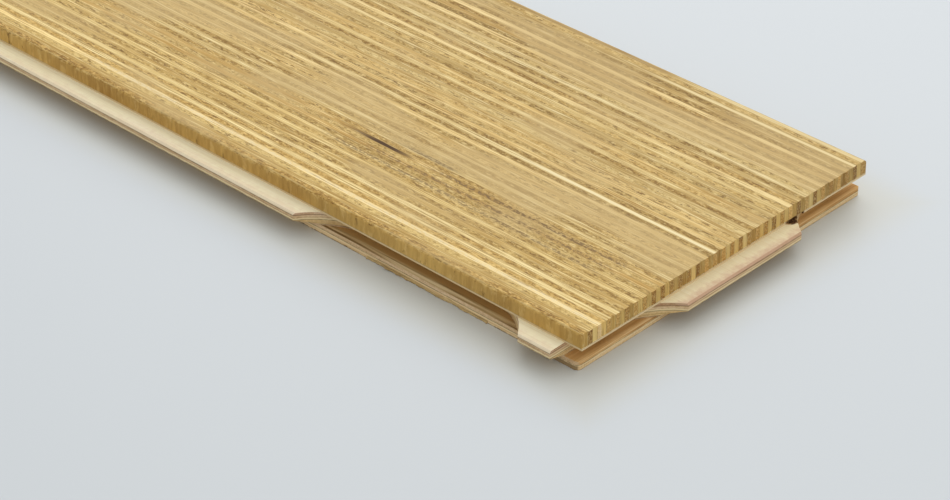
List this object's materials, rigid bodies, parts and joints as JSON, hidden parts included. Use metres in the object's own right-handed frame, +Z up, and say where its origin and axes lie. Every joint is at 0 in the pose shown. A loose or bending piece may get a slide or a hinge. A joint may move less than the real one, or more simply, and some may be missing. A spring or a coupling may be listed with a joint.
{
  "type": "parquet strip",
  "caption": "Engineered parquet strip: oak slats on edge over a plywood base, with alternating tongue and groove milled into its edges for any laying pattern.",
  "frame": {"origin": "centre of the underside below the wear face, on the floor", "axes": "+X along the strip towards the end with the tongue, +Y across it towards the grooved long side, +Z up out of the wear face"},
  "size_m": [0.6047, 0.1047, 0.01],
  "materials": {
    "long_grain_oak": "planed, oiled matt, grain along the strip",
    "cross_grain_oak": "planed, oiled matt, speckled end grain",
    "pale_ply": "bare milled veneer, long grain",
    "cross_ply": "bare milled veneer, cross grain, pinkish",
    "core_ply": "bare milled veneer, long grain",
    "back_ply": "bare rotary-cut veneer, brown"
  },
  "bodies": {
    "root": {"long_grain_slats": "long_grain_oak", "cross_grain_slats": "cross_grain_oak", "face_ply": "pale_ply", "upper_cross_ply": "cross_ply", "core_ply": "core_ply", "lower_cross_ply": "cross_ply", "back_ply": "back_ply"}
  },
  "joints": []
}
